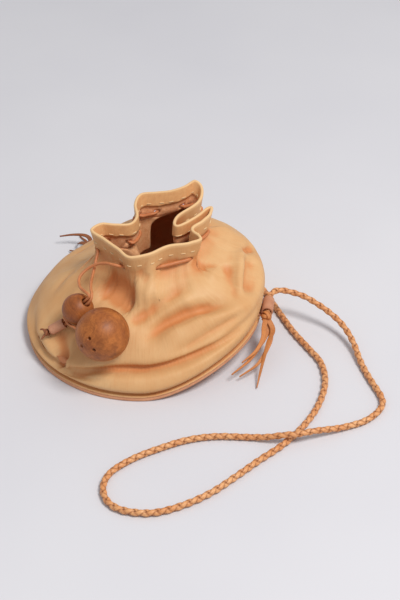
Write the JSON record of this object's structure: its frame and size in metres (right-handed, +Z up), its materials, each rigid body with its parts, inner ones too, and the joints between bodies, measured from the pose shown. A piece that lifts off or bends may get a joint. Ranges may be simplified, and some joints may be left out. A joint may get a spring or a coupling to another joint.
{
  "type": "drawstring bag",
  "caption": "Soft round-bottomed leather drawstring bag with a gathered mouth, a thong with wooden beads, and a braided shoulder strap lying beside it.",
  "frame": {"origin": "centre of the round base's underside, on the surface the bag stands on", "axes": "+Z up out of the mouth; +X towards the base's curled-up side, where the strap's right keeper is; -Y towards the beads and the front; +Y towards the back"},
  "size_m": [0.298, 0.3582, 0.1079],
  "materials": {
    "sole": "smooth vegetable-tanned leather, matt",
    "bag_wall": "soft natural tan leather with a fine grain, matt",
    "thong": "round leather thong, matt",
    "wood": "turned red-brown wood, satin",
    "keeper": "leather with its flesh side out, matt",
    "braid": "braided leather, satin"
  },
  "bodies": {
    "bag": {"sole": "sole", "bag_wall": "bag_wall", "drawstring": "thong", "large_ball": "wood", "ball_loop": "thong", "end_tube": "keeper", "end_knot": "thong", "strap": "braid", "strap_keeper_right": "keeper", "strap_keeper_left": "keeper", "strap_end_right": "braid", "strap_end_left": "braid"},
    "bead": {"small_bead": "wood"}
  },
  "joints": [
    {"name": "bead_slide", "type": "slide", "parent": "bag", "child": "bead", "axis": [0.603, -0.216, 0.768], "range_m": [0, 0.003]}
  ]
}
